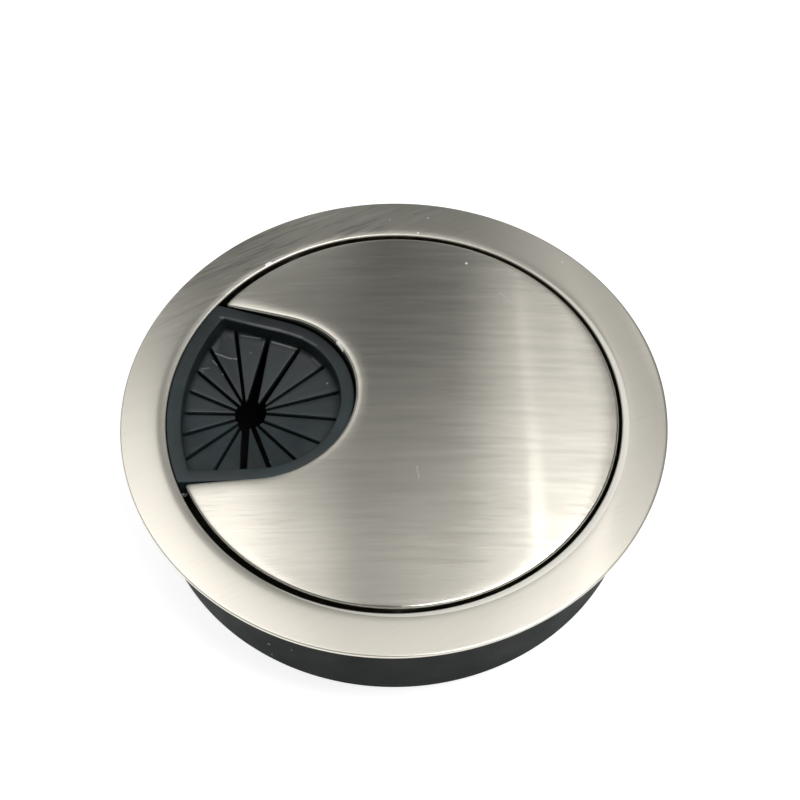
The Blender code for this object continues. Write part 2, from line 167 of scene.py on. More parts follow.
# Plan outlines: steps along the bay's end, its side, the corner and the rim
LID_OUTLINE_STEPS = (48, 18, 6, 170)
INSERT_OUTLINE_STEPS = (44, 16, 6, 40)
MERGE_DISTANCE = 0.000001
SMOOTH_ANGLE = math.radians(32)
INSERT_SMOOTH_ANGLE = math.radians(40)

# Radii and levels that follow from the sizes above
FLANGE_RADIUS = HOLE_RADIUS + FLANGE_OVERLAP
SLEEVE_RADIUS = HOLE_RADIUS - HOLE_CLEARANCE
LAND_RADIUS = SLEEVE_RADIUS + SEAT_GAP
LOWER_BORE_RADIUS = SLEEVE_RADIUS - SLEEVE_WALL
SOCKET_RADIUS = SLEEVE_RADIUS - SOCKET_WALL
LEDGE_BORE_RADIUS = SOCKET_RADIUS - LEDGE_WIDTH
COLLAR_RADIUS = SOCKET_RADIUS - SEAT_GAP
OPENING_RADIUS = COLLAR_RADIUS - COLLAR_WALL
BAND_RADIUS = OPENING_RADIUS + BAND_WIDTH
LID_RADIUS = OPENING_RADIUS - LID_GAP
BAY_CENTRE = LID_RADIUS - LID_SHIFT - BAY_SETBACK
INSERT_RADIUS = OPENING_RADIUS - INSERT_GAP
INSERT_WALL_RADIUS = BAY_RADIUS - SEAT_GAP
WELL_RIM_RADIUS = OPENING_RADIUS - SEAT_GAP - RIM_WIDTH
WELL_WALL_RADIUS = INSERT_WALL_RADIUS - RIM_WIDTH
FINGER_HOLE_CENTRE = BAY_CENTRE + FINGER_HOLE_OFFSET

EDGE_LEVEL = DESK_LEVEL + FLANGE_EDGE
TOP_LEVEL = EDGE_LEVEL + FLANGE_CROWN
FOOT_LEVEL = DESK_LEVEL - COLLAR_DEPTH
LEDGE_LEVEL = FOOT_LEVEL - SEAT_GAP
LEDGE_UNDERSIDE = LEDGE_LEVEL - LEDGE_THICKNESS
LID_EDGE_LEVEL = EDGE_LEVEL + LID_EDGE_RISE
RIM_LEVEL = EDGE_LEVEL + RIM_RISE
BEAD_LEVEL = RIM_LEVEL - BEAD_DROP
FINGER_LEVEL = RIM_LEVEL - WELL_DEPTH
DOME_RADIUS = (LID_RADIUS**2 + LID_DOME_RISE**2) / (2 * LID_DOME_RISE)

# The photograph's view: angles, distance to the target, and the pixel where the target lies
VIEW_TURN = math.radians(8.06)
VIEW_ELEVATION = math.radians(55.61)
VIEW_ROLL = math.radians(-0.483)
VIEW_DISTANCE = 0.322
VIEW_TARGET = Vector((0, 0, 0.0193))
VIEW_LENS = 90
VIEW_SENSOR = 36
PHOTO_SIZE = 800
PHOTO_MIDDLE = (393.84, 412.46)

AXIS = Vector((0, 0))
LID_CENTRE = Vector((LID_SHIFT, 0))
# Side of the bay's wall that a piece lies on
OUTSIDE_BAY = 1
INSIDE_BAY = -1


# Meshes

def plain_object(name, bm):
    bmesh.ops.remove_doubles(bm, verts=bm.verts, dist=MERGE_DISTANCE)
    bmesh.ops.recalc_face_normals(bm, faces=bm.faces)
    mesh = bpy.data.meshes.new(name)
    bm.to_mesh(mesh)
    bm.free()
    made = bpy.data.objects.new(name, mesh)
    bpy.context.scene.collection.objects.link(made)
    return made


def finish_piece(name, bm, material, node, smooth_angle=SMOOTH_ANGLE):
    """One closed piece that stands for a node of the frame."""
    piece = plain_object(name, bm)
    piece.data.materials.append(material)
    piece.data.shade_smooth()
    piece.data.set_sharp_from_angle(angle=smooth_angle)
    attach(piece, "root")
    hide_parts(node)


def arc(centre, radius, start, end, steps):
    angles = [start + (end - start) * i / steps for i in range(steps + 1)]
    return [centre + radius * Vector((math.cos(a), math.sin(a))) for a in angles]


def shortest_turn(start, end):
    return (end - start + math.pi) % math.tau - math.pi


def rounded_profile(corners):
    """A closed profile from (radius, level, round) corners, each round turned into an arc."""
    points = []
    count = len(corners)
    for index, (x, y, rounding) in enumerate(corners):
        corner = Vector((x, y))
        if not rounding:
            points.append(corner)
            continue
        before = (Vector(corners[index - 1][:2]) - corner).normalized()
        after = (Vector(corners[(index + 1) % count][:2]) - corner).normalized()
        half_angle = before.angle(after) / 2
        centre = corner + (before + after).normalized() * (rounding / math.sin(half_angle))
        to_start = corner + before * (rounding / math.tan(half_angle)) - centre
        to_end = corner + after * (rounding / math.tan(half_angle)) - centre
        start = math.atan2(to_start.y, to_start.x)
        turn = shortest_turn(start, math.atan2(to_end.y, to_end.x))
        points += arc(centre, rounding, start, start + turn, ROUND_STEPS)
    return points


def turned(profile, segments):
    """A closed profile of radii and levels, turned round the axis."""
    bm = bmesh.new()
    verts = [bm.verts.new((point.x, 0, point.y)) for point in profile]
    edges = [bm.edges.new((a, b)) for a, b in zip(verts, verts[1:] + verts[:1])]
    bmesh.ops.spin(
        bm,
        geom=verts + edges,
        cent=(0, 0, 0),
        axis=(0, 0, 1),
        angle=math.tau,
        steps=segments,
        use_merge=True,
    )
    return bm


def snap(radius, growth):
    """Corners of the snap bead on a wall of this radius, or of its groove, which is larger."""
    level = DESK_LEVEL - SNAP_DROP
    half = SNAP_HALF_WIDTH + growth
    crest = half - SNAP_SLOPE
    return [
        (radius, level + half, 0),
        (radius + SNAP_HEIGHT, level + crest, 0),
        (radius + SNAP_HEIGHT, level - crest, 0),
        (radius, level - half, 0),
    ]


def half_outline(side, rim_centre, rim_radius, wall_radius, rounding, steps):
    """Plan outline above the X axis: the bay's round end, its flared side, a corner, the rim."""
    end_steps, side_steps, corner_steps, rim_steps = steps
    centre = Vector((-BAY_CENTRE, 0))
    outward = Vector((math.sin(BAY_FLARE), math.cos(BAY_FLARE)))
    along = Vector((-math.cos(BAY_FLARE), math.sin(BAY_FLARE)))
    start = centre + outward * (wall_radius + side * rounding) - rim_centre
    reach = rim_radius - rounding
    run = -start.dot(along) + math.sqrt(start.dot(along) ** 2 - start.dot(start) + reach**2)
    corner = start + along * run
    to_wall = -side * outward
    first = math.atan2(to_wall.y, to_wall.x)
    turn = shortest_turn(first, math.atan2(corner.y, corner.x))
    corner_points = arc(rim_centre + corner, rounding, first, first + turn, corner_steps)
    end_points = arc(centre, wall_radius, 0, math.pi / 2 - BAY_FLARE, end_steps)
    side_shares = [i / side_steps for i in range(1, side_steps)]
    side_points = [end_points[-1].lerp(corner_points[0], share) for share in side_shares]
    last = 0 if side == OUTSIDE_BAY else math.pi
    rim_points = arc(rim_centre, rim_radius, math.atan2(corner.y, corner.x), last, rim_steps)
    return end_points + side_points + corner_points + rim_points[1:]


def full_outline(half):
    return half + [Vector((point.x, -point.y)) for point in reversed(half[1:-1])]


def lid_outline(rim_inset, wall_growth):
    rounding = max(BAY_CORNER_ROUND - rim_inset, INNER_CORNER_ROUND)
    rim_radius = LID_RADIUS - rim_inset
    wall_radius = BAY_RADIUS + wall_growth
    return full_outline(
        half_outline(OUTSIDE_BAY, LID_CENTRE, rim_radius, wall_radius, rounding, LID_OUTLINE_STEPS)
    )


def insert_outline(rim_inset, wall_inset, bead=0):
    rounding = max(INSERT_CORNER_ROUND - rim_inset, INNER_CORNER_ROUND)
    rim_radius = INSERT_RADIUS - rim_inset
    wall_radius = INSERT_WALL_RADIUS - wall_inset + bead
    return full_outline(
        half_outline(INSIDE_BAY, AXIS, rim_radius, wall_radius, rounding, INSERT_OUTLINE_STEPS)
    )


def add_loop(bm, outline, level):
    """A row of vertices over a plan outline, at one level or at a level for each point."""
    height = level if callable(level) else lambda point: level
    return [bm.verts.new((point.x, point.y, height(point))) for point in outline]


def bridge_rows(bm, rows, closed):
    """Faces between each row and the next, and from the last row to the first if closed."""
    pairs = list(zip(rows, rows[1:]))
    if closed:
        pairs.append((rows[-1], rows[0]))
    for lower, upper in pairs:
        for i in range(len(lower)):
            bm.faces.new((lower[i - 1], lower[i], upper[i], upper[i - 1]))


def beyond_bay(point, wall_radius):
    """How far a plan point lies outside the bay's wall. Negative inside the bay."""
    outward = -BAY_CENTRE - point.x
    across = abs(point.y)
    if outward * math.cos(BAY_FLARE) + across * math.sin(BAY_FLARE) < 0:
        return math.hypot(outward, across) - wall_radius
    return across * math.cos(BAY_FLARE) - outward * math.sin(BAY_FLARE) - wall_radius


# Lid surface

def roll(distance, width, drop, power):
    return drop * max(1 - distance / width, 0) ** power


def dome_height(point):
    """Level of the lid's outer face, with its soft roll-off at the bay and at the rim."""
    from_centre = (point - LID_CENTRE).length
    sag = DOME_RADIUS - math.sqrt(DOME_RADIUS**2 - from_centre**2)
    from_bay = max(beyond_bay(point, BAY_RADIUS), 0)
    bay_roll = roll(from_bay, BAY_ROLL_WIDTH, BAY_ROLL_DROP, BAY_ROLL_POWER)
    from_rim = max(LID_RADIUS - from_centre, 0)
    rim_roll = roll(from_rim, RIM_ROLL_WIDTH, RIM_ROLL_DROP, RIM_ROLL_POWER)
    return LID_EDGE_LEVEL + LID_DOME_RISE - sag - bay_roll - rim_roll


def inside_height(point):
    sag = DOME_RADIUS - math.sqrt(DOME_RADIUS**2 - (point - LID_CENTRE).length_squared)
    return LID_EDGE_LEVEL + LID_DOME_RISE - sag - LID_PLATE


def close_with_dome(bm, row, rim_radius, wall_radius, height, spacing):
    """Triangles that close the plan outline of a row of vertices and follow a domed height."""
    margin = spacing * MARGIN_SHARE
    extra = [LID_CENTRE]
    for ring in range(1, math.ceil((rim_radius - margin) / spacing)):
        extra += arc(LID_CENTRE, ring * spacing, 0, math.tau, round(math.tau * ring))[1:]
    extra = [point for point in extra if beyond_bay(point, wall_radius) > margin]
    plan = [Vector(vert.co[:2]) for vert in row] + extra
    count = len(row)
    ring_edges = [(i, (i + 1) % count) for i in range(count)]
    triangles = delaunay_2d_cdt(plan, ring_edges, [], 1, MERGE_DISTANCE)[2]
    verts = row + [bm.verts.new((point.x, point.y, height(point))) for point in extra]
    for triangle in triangles:
        bm.faces.new([verts[i] for i in triangle])


def rounded_steps(radius, steps):
    """Pairs of inset and drop along a quarter round, from upright to flat."""
    angles = [math.pi / 2 * step / steps for step in range(steps + 1)]
    return [(radius * (1 - math.cos(angle)), radius * (1 - math.sin(angle))) for angle in angles]


def make_lid(material):
    bm = bmesh.new()
    half = BEAD_HALF_WIDTH + SEAT_GAP
    crest = half - BEAD_HEIGHT
    wall = lid_outline(0, 0)
    groove = lid_outline(0, BEAD_HEIGHT)
    inside = lid_outline(LID_WALL, LID_WALL)
    foot = lid_outline(LID_FOOT_CHAMFER, LID_FOOT_CHAMFER)
    rows = [
        add_loop(bm, inside, inside_height),
        add_loop(bm, inside, FOOT_LEVEL),
        add_loop(bm, foot, FOOT_LEVEL),
        add_loop(bm, wall, FOOT_LEVEL + LID_FOOT_CHAMFER),
        add_loop(bm, wall, BEAD_LEVEL - half),
        add_loop(bm, groove, BEAD_LEVEL - crest),
        add_loop(bm, groove, BEAD_LEVEL + crest),
        add_loop(bm, wall, BEAD_LEVEL + half),
    ]
    for inset, drop in rounded_steps(LID_EDGE_ROUND, ROUND_STEPS):
        outline = lid_outline(inset, inset)
        rows.append(add_loop(bm, outline, lambda point: dome_height(point) - drop))
    for inset in DOME_INSETS:
        rows.append(add_loop(bm, lid_outline(inset, inset), dome_height))
    bridge_rows(bm, rows, closed=False)
    last = DOME_INSETS[-1]
    close_with_dome(bm, rows[-1], LID_RADIUS - last, BAY_RADIUS + last, dome_height, DOME_SPACING)
    close_with_dome(
        bm, rows[0], LID_RADIUS - LID_WALL, BAY_RADIUS + LID_WALL, inside_height, INSIDE_SPACING
    )
    finish_piece("lid_plate", bm, material, "lid")


# Ring and sleeve

def flange_height(radius):
    share = (radius - BAND_RADIUS) / (FLANGE_RADIUS - BAND_RADIUS)
    return TOP_LEVEL - FLANGE_FALL * share**FLANGE_FALL_POWER


def band_height(radius):
    share = (BAND_RADIUS - radius) / (BAND_RADIUS - OPENING_RADIUS)
    return TOP_LEVEL - BAND_DROP * share**BAND_DROP_POWER


def spread(start, end, steps):
    """Evenly spaced values after start, up to end."""
    return [start + (end - start) * step / steps for step in range(1, steps + 1)]


def make_ring(material):
    shoulder = OPENING_RADIUS + MOUTH_ROUND
    top = [Vector((OPENING_RADIUS, FOOT_LEVEL))]
    for angle in [0, *spread(0, MOUTH_ROUND_TURN, ROUND_STEPS)]:
        drop = MOUTH_ROUND * (math.sin(MOUTH_ROUND_TURN) - math.sin(angle))
        top.append(Vector((shoulder - MOUTH_ROUND * math.cos(angle), band_height(shoulder) - drop)))
    for radius in spread(top[-1].x, BAND_RADIUS, BAND_STEPS):
        top.append(Vector((radius, band_height(radius))))
    end = FLANGE_RADIUS - EDGE_ROUND
    for radius in spread(BAND_RADIUS, end, FLANGE_STEPS):
        top.append(Vector((radius, flange_height(radius))))
    for angle in spread(0, math.pi / 2, EDGE_STEPS):
        drop = EDGE_ROUND * (1 - math.cos(angle))
        top.append(Vector((end + EDGE_ROUND * math.sin(angle), flange_height(end) - drop)))
    relief_level = DESK_LEVEL + FLANGE_RELIEF
    below = rounded_profile(
        [
            (FLANGE_RADIUS, DESK_LEVEL, 0),
            (LAND_RADIUS, DESK_LEVEL, 0),
            (LAND_RADIUS, relief_level, 0),
            (COLLAR_RADIUS, relief_level, COLLAR_ROOT_ROUND),
            *snap(COLLAR_RADIUS, 0),
            (COLLAR_RADIUS, FOOT_LEVEL + COLLAR_CHAMFER, 0),
            (COLLAR_RADIUS - COLLAR_CHAMFER, FOOT_LEVEL, 0),
        ]
    )
    bm = turned(top + below, RING_SEGMENTS)
    finish_piece("ring_casting", bm, material, "trim_ring")


def make_sleeve(material):
    top = DESK_LEVEL - SEAT_GAP
    profile = rounded_profile(
        [
            (SLEEVE_RADIUS - SLEEVE_CHAMFER, 0, SLEEVE_ROUND),
            (SLEEVE_RADIUS, SLEEVE_CHAMFER, SLEEVE_ROUND),
            (SLEEVE_RADIUS, top - SLEEVE_CHAMFER, SLEEVE_ROUND),
            (SLEEVE_RADIUS - SLEEVE_CHAMFER, top, 0),
            (SOCKET_RADIUS, top, 0),
            *snap(SOCKET_RADIUS, SEAT_GAP),
            (SOCKET_RADIUS, LEDGE_LEVEL, 0),
            (LEDGE_BORE_RADIUS, LEDGE_LEVEL, LEDGE_ROUND),
            (LEDGE_BORE_RADIUS, LEDGE_UNDERSIDE, LEDGE_ROUND),
            (LOWER_BORE_RADIUS, LEDGE_UNDERSIDE, LEDGE_ROUND),
            (LOWER_BORE_RADIUS, SLEEVE_CHAMFER, 0),
            (LOWER_BORE_RADIUS + SLEEVE_CHAMFER, 0, 0),
        ]
    )
    bm = turned(profile, SLEEVE_SEGMENTS)
    finish_piece("sleeve_tube", bm, material, "sleeve")


# Slit insert

def well_reach(origin, direction):
    """Distance from a plan point in the well to the well's wall, found by halving."""
    near = 0
    far = FLANGE_RADIUS
    for _ in range(REACH_HALVINGS):
        middle = (near + far) / 2
        point = origin + direction * middle
        if point.length < WELL_RIM_RADIUS and beyond_bay(point, WELL_WALL_RADIUS) < 0:
            near = middle
        else:
            far = middle
    return near


def slit_edge(index, side):
    """The tip and root of one side of a slit, in plan."""
    used = USED_SLITS.get(index % FINGER_COUNT, PLAIN_SLIT)
    root_width, tip_width, root_lean, tip_lean = used
    angle = math.tau * index / FINGER_COUNT
    direction = Vector((math.cos(angle), math.sin(angle)))
    across = Vector((-direction.y, direction.x)) * SLIT_WIDTH
    centre = Vector((-FINGER_HOLE_CENTRE, 0))
    reach = well_reach(centre, direction)
    tip = centre + direction * FINGER_HOLE_RADIUS + across * (tip_lean + side * tip_width / 2)
    root = centre + direction * reach + across * (root_lean + side * root_width / 2)
    return tip, root


def finger_column(tip, outward, lowered):
    """Top and bottom points along one line of a finger, from inside the wall to the tip."""
    length = well_reach(tip, outward)
    free = length - ROOT_FILLET
    stations = [(length + ROOT_BITE, ROOT_FILLET)]
    for step in range(FILLET_STEPS + 1):
        angle = math.pi / 2 * step / FILLET_STEPS
        run = length - ROOT_FILLET * math.sin(angle)
        stations.append((run, ROOT_FILLET * (1 - math.sin(angle))))
    stations += [(free * (1 - step / FINGER_STEPS), 0) for step in range(1, FINGER_STEPS + 1)]
    top = []
    bottom = []
    for run, lift in stations:
        plan = tip + outward * run
        slope = max(1 - run / free, 0)
        level = FINGER_LEVEL - FINGER_DROOP * slope
        thickness = FINGER_THICKNESS * (1 - FINGER_THINNING * slope)
        top.append((plan.x, plan.y, level + lift - lowered))
        bottom.append((plan.x, plan.y, level - thickness))
    return top, bottom


def finger_columns(index):
    """Columns of points across a finger, from one bevelled side to the other."""
    tip_a, root_a = slit_edge(index, 1)
    tip_b, root_b = slit_edge(index + 1, -1)
    root_width = (root_b - root_a).length
    tip_width = (tip_b - tip_a).dot(root_b - root_a) / root_width
    shortening = max((FINGER_TIP_WIDTH - tip_width) / (root_width - tip_width), 0)
    tip_a = tip_a.lerp(root_a, shortening)
    tip_b = tip_b.lerp(root_b, shortening)
    tip_bevel = min(FINGER_BEVEL / (tip_b - tip_a).length, TIP_BEVEL_SHARE)
    root_bevel = FINGER_BEVEL / root_width
    shares = [(tip_bevel * share, root_bevel * share, drop) for share, drop in BEVEL_POINTS]
    middle = [(share, share, 0) for share in FINGER_COLUMN_SHARES]
    mirrored = [
        (1 - tip_share, 1 - root_share, drop) for tip_share, root_share, drop in reversed(shares)
    ]
    columns = []
    for tip_share, root_share, drop in shares + middle + mirrored:
        tip = tip_a.lerp(tip_b, tip_share)
        outward = (root_a.lerp(root_b, root_share) - tip).normalized()
        columns.append(finger_column(tip, outward, FINGER_BEVEL * drop))
    return columns


def add_finger(bm, index):
    rows = []
    columns = finger_columns(index)
    for station in range(len(columns[0][0])):
        over = [bm.verts.new(top[station]) for top, _ in columns]
        under = [bm.verts.new(bottom[station]) for _, bottom in reversed(columns)]
        rows.append(over + under)
    bridge_rows(bm, rows, closed=False)
    for row in (rows[0], rows[-1]):
        half = len(row) // 2
        for i in range(half - 1):
            bm.faces.new((row[i], row[i + 1], row[-2 - i], row[-1 - i]))


def insert_frame():
    bm = bmesh.new()
    well_inset = INSERT_RADIUS - WELL_RIM_RADIUS
    wall = insert_outline(0, 0)
    bead = insert_outline(0, 0, BEAD_HEIGHT)
    well = insert_outline(well_inset, RIM_WIDTH)
    rows = [
        add_loop(bm, well, FOOT_LEVEL),
        add_loop(bm, wall, FOOT_LEVEL),
        add_loop(bm, wall, BEAD_LEVEL - BEAD_HALF_WIDTH),
        add_loop(bm, bead, BEAD_LEVEL - BEAD_CREST_HALF_WIDTH),
        add_loop(bm, bead, BEAD_LEVEL + BEAD_CREST_HALF_WIDTH),
        add_loop(bm, wall, BEAD_LEVEL + BEAD_HALF_WIDTH),
    ]
    for inset, drop in rounded_steps(RIM_OUTER_ROUND, RIM_OUTER_STEPS):
        rows.append(add_loop(bm, insert_outline(inset, inset), RIM_LEVEL - drop))
    for drop, inset in rounded_steps(RIM_INNER_ROUND, RIM_INNER_STEPS):
        outline = insert_outline(well_inset - inset, RIM_WIDTH - inset)
        rows.append(add_loop(bm, outline, RIM_LEVEL - drop))
    bridge_rows(bm, rows, closed=True)
    return bm


def make_insert(material):
    """The frame and its fingers, joined into one closed moulding."""
    rim = plain_object("rim_shape", insert_frame())
    finger_mesh = bmesh.new()
    for index in range(FINGER_COUNT):
        add_finger(finger_mesh, index)
    fingers = plain_object("finger_shape", finger_mesh)
    join = rim.modifiers.new("join", "BOOLEAN")
    join.operation = "UNION"
    join.solver = "EXACT"
    join.object = fingers
    joined = rim.evaluated_get(bpy.context.evaluated_depsgraph_get())
    bm = bmesh.new()
    bm.from_mesh(joined.to_mesh())
    joined.to_mesh_clear()
    bpy.data.objects.remove(rim)
    bpy.data.objects.remove(fingers)
    finish_piece("slit_insert", bm, material, "flap_insert", INSERT_SMOOTH_ANGLE)


# Shader nodes

# The streaks' noise, and how far it is shifted along each axis for each step of its offset
STREAK_ROUGHNESS = 0.55
STREAK_SHIFT = (1, 1.7, 0.6)
# Values of a noise between which a look goes from one end to the other
NARROW_RANGE = (0.38, 0.62)
MIDDLE_RANGE = (0.35, 0.65)
WIDE_RANGE = (0.3, 0.7)


def set_input(tree, socket, value):
    """Gives an input a number, a vector or a colour, or links it to an output."""
    if isinstance(value, bpy.types.NodeSocket):
        tree.links.new(value, socket)
    elif socket.type == "RGBA":
        socket.default_value = (*value, 1)
    else:
        socket.default_value = value


def add_node(tree, kind, inputs, **settings):
    """A node with these settings and inputs."""
    node = tree.nodes.new(kind)
    for key, value in settings.items():
        setattr(node, key, value)
    for key, value in inputs.items():
        set_input(tree, node.inputs[key], value)
    return node


def math_node(tree, operation, a, b, clamp=False):
    node = add_node(tree, "ShaderNodeMath", {0: a, 1: b}, operation=operation, use_clamp=clamp)
    return node.outputs[0]


def vector_node(tree, operation, a, b=None):
    """A step of vector arithmetic. A length, a distance and a dot product come out as numbers."""
    inputs = {0: a}
    if b is not None:
        inputs["Scale" if operation == "SCALE" else 1] = b
    node = add_node(tree, "ShaderNodeVectorMath", inputs, operation=operation)
    return node.outputs["Value" if operation in ("LENGTH", "DISTANCE", "DOT_PRODUCT") else "Vector"]


def combined(tree, x, y, z):
    return add_node(tree, "ShaderNodeCombineXYZ", {"X": x, "Y": y, "Z": z}).outputs[0]


def separated(tree, vector):
    return add_node(tree, "ShaderNodeSeparateXYZ", {0: vector}).outputs


def texture_place(tree, space="Object"):
    return add_node(tree, "ShaderNodeTexCoord", {}).outputs[space]


def map_range(tree, value, low, high, to_low, to_high, interpolation="LINEAR"):
    inputs = {
        "Value": value,
        "From Min": low,
        "From Max": high,
        "To Min": to_low,
        "To Max": to_high,
    }
    node = add_node(tree, "ShaderNodeMapRange", inputs, interpolation_type=interpolation)
    return node.outputs["Result"]


def mix_colour(tree, factor, a, b):
    return add_node(tree, "ShaderNodeMix", {0: factor, 6: a, 7: b}, data_type="RGBA").outputs[2]


def mix_number(tree, factor, a, b):
    return add_node(tree, "ShaderNodeMix", {0: factor, 2: a, 3: b}, data_type="FLOAT").outputs[0]


def noise(tree, coords, scale, detail, output="Fac", roughness=0.5):
    inputs = {"Vector": coords, "Scale": scale, "Detail": detail, "Roughness": roughness}
    return add_node(tree, "ShaderNodeTexNoise", inputs).outputs[output]


def streaks(tree, vector, kind, offset):
    """Noise drawn out along the first axis into streaks of one kind."""
    length, width, detail, own_offset = kind
    inputs = {
        "Vector": vector,
        "Location": [(offset + own_offset) * share for share in STREAK_SHIFT],
        "Scale": (1 / length, 1 / width, 1 / length),
    }
    mapping = add_node(tree, "ShaderNodeMapping", inputs)
    return noise(tree, mapping.outputs[0], 1.0, detail, roughness=STREAK_ROUGHNESS)


def add_up(tree, parts):
    """The sum of outputs, each times its weight."""
    total = None
    for value, weight in parts:
        part = math_node(tree, "MULTIPLY", value, weight)
        total = part if total is None else math_node(tree, "ADD", total, part)
    return total


def new_material(name, colour, roughness, metallic):
    material = bpy.data.materials.new(name)
    material.use_nodes = True
    tree = material.node_tree
    shader = tree.nodes["Principled BSDF"]
    shader.inputs["Base Color"].default_value = (*colour, 1)
    shader.inputs["Roughness"].default_value = roughness
    shader.inputs["Metallic"].default_value = metallic
    return material, tree, shader


# Marks of wear and dust, and small painted highlights

# Noise that makes the edges of marks ragged, and the share of a mark's radius that is full
RAGGED_SCALE = 2600.0
FULL_SHARE = 0.5


def segment_distance(tree, place, start, end):
    """Distance of each point from a line between two points of the part."""
    start, end = Vector(start), Vector(end)
    length = (end - start).length
    from_start = vector_node(tree, "SUBTRACT", place, start)
    if length == 0:
        return vector_node(tree, "LENGTH", from_start)
    direction = (end - start) / length
    along = vector_node(tree, "DOT_PRODUCT", from_start, direction)
    along = math_node(tree, "MAXIMUM", math_node(tree, "MINIMUM", along, length), 0.0)
    foot = vector_node(tree, "SCALE", direction, along)
    return vector_node(tree, "DISTANCE", from_start, foot)


def marks_and_highlights_mask(tree, coords, marks, raggedness):
    """Where small marks and painted highlights lie: their strength on a mark and 0 away from them,
    with ragged edges.
    """
    ragged = noise(tree, coords, RAGGED_SCALE, 2.0, "Color")
    shift = vector_node(tree, "SUBTRACT", ragged, (0.5, 0.5, 0.5))
    place = vector_node(tree, "ADD", coords, vector_node(tree, "SCALE", shift, raggedness))
    mask = None
    for start, end, radius, strength in marks:
        apart = segment_distance(tree, place, start, end)
        spot = map_range(tree, apart, radius * FULL_SHARE, radius, strength, 0.0)
        mask = spot if mask is None else math_node(tree, "MAXIMUM", mask, spot)
    return mask


def mark(place, radius, strength, to=None):
    """A small mark at a place, or from one place to another, in millimetres: wear or dust, and on
    the insert also painted highlights.
    """
    start = tuple(value / 1000 for value in place)
    end = tuple(value / 1000 for value in to) if to else start
    return start, end, radius / 1000, strength


RING_MARKS = [
    mark((0.44, 40.89, 19.48), 0.22, 0.6),
    mark((-0.84, 37.29, 19.56), 0.22, 0.8),
    mark((-5.99, 39.56, 19.53), 0.20, 0.4),
    mark((-25.4, 27.1, 19.5), 0.32, 1.0, (-24.8, 27.6, 19.5)),
    mark((-10.75, 35.25, 19.4), 0.24, 0.8),
    mark((24.16, 34.26, 19.43), 0.18, 0.4),
]
LID_MARKS = [
    mark((-10.84, 11.35, 20.85), 0.40, 1.0, (-9.82, 10.15, 20.8)),
    mark((8.16, 31.45, 19.98), 0.27, 0.8),
    mark((14.47, 25.63, 20.29), 0.15, 0.22, (18.13, 22.46, 20.34)),
    mark((5.16, -11.05, 21.42), 0.12, 0.14, (5.75, -13.16, 21.33)),
]
SLEEVE_MARKS = [
    mark((-14.96, -36.56, 4.97), 0.34, 1.0),
    mark((-14.63, -36.69, 1.84), 0.24, 1.0),
    mark((-11.06, -37.92, 6.49), 0.24, 0.8),
]
INSERT_MARKS_AND_HIGHLIGHTS = [
    # Painted highlight along the inner edge of the rim on the far side
    mark((-31.12, 15.23, 19.3), 0.34, 0.22, (-26.35, 14.55, 19.3)),
    mark((-26.35, 14.55, 19.3), 0.34, 0.30, (-20.99, 13.86, 19.3)),
    mark((-20.99, 13.86, 19.3), 0.34, 0.24, (-17.11, 12.89, 19.3)),
    mark((-17.11, 12.89, 19.3), 0.30, 0.14, (-14.48, 11.58, 19.3)),
    # Painted highlights: light lines at the roots of the far fingers
    mark((-27.76, 14.33, 16.08), 0.16, 0.35, (-24.47, 14.03, 16.2)),
    mark((-22.34, 13.62, 16.18), 0.20, 0.6, (-18.06, 12.75, 16.1)),
    mark((-15.24, 11.27, 16.12), 0.16, 0.3, (-13.69, 9.91, 16.08)),
    mark((-31.35, 10.28, 15.88), 0.17, 0.5, (-29.10, 9.9, 15.44)),
    mark((-29.10, 9.9, 15.44), 0.17, 0.6, (-27.62, 10.0, 15.4)),
    mark((-29.45, 6.7, 15.2), 0.24, 0.9),
    mark((-31.50, 8.71, 15.83), 0.15, 0.4, (-30.73, 8.13, 15.63)),
    mark((-32.96, 6.72, 16.04), 0.15, 0.3, (-31.89, 7.22, 15.82)),
    mark((-25.63, 11.32, 15.63), 0.20, 0.3),
    mark((-14.88, 11.00, 16.13), 0.20, 0.35),
    mark((-11.98, 6.61, 15.95), 0.24, 0.6),
    mark((-18.79, -9.64, 15.55), 0.20, 0.4),
]


# Nickel plate

NICKEL = (0.60, 0.567, 0.503)
RING_TONE = 1.1
RING_BRUSH = VIEW_TURN + math.radians(27)
LID_BRUSH = VIEW_TURN
# Where the ring and the lid are scratched most, and how far from there the scratches thin out
RING_SCRATCHED = (-0.022, 0.033, 0.0195)
LID_SCRATCHED = (0.0, -0.008, 0.021)
SCRATCHED_REACH = (0.012, 0.034)

# Kinds of brush lines: about this length and width in metres, with this detail and own offset
FINE_STREAKS = (0.005, 0.00016, 2.0, 0)
MEDIUM_STREAKS = (0.012, 0.0008, 2.0, 3)
BROAD_STREAKS = (0.02, 0.0016, 3.0, 7)
HAIRLINES = (0.0065, 0.0004, 1.0, 11)
SCRATCHES = (0.007, 0.0006, 3.0, 17)
# Shares of the fine, medium and broad streaks and of the clouds in the plate's tone
TONE_SHARES = (0.12, 0.45, 0.33, 0.1)
BUMP_SHARES = (0.2, 0.8)
CLOUD_SCALE = 60.0
PATCH_SCALE = 45.0
PATCH_RANGE = (0.40, 0.62)
LEAST_HANDLED = 0.25
TONE_SWING = 0.06
ROUGHNESS_SWING = 0.012
BUMP_HEIGHT = 0.00000008
# Dark and light lines: where they start and where they are full in the noise, and their strength
HAIRLINE_TAILS = ((0.60, 0.74, 0.20), (0.40, 0.26, 0.16))
SCRATCH_TAILS = ((0.53, 0.66, 0.40), (0.44, 0.34, 0.45))
DARK_LINE = (0.20, 0.19, 0.165)
LIGHT_LINE = (0.95, 0.92, 0.85)
# Marks are bare or filled with dust, so they are pale and scatter light
METAL_MARK = (0.95, 0.94, 0.90)
METAL_RAGGEDNESS = 0.00022
BARE_ROUGHNESS = 0.55
# The plate's sheen has a broad part and a small sharp part, which draws the bright lines
GLOSS_SHARE = 0.35
GLOSS_ROUGHNESS = 0.12
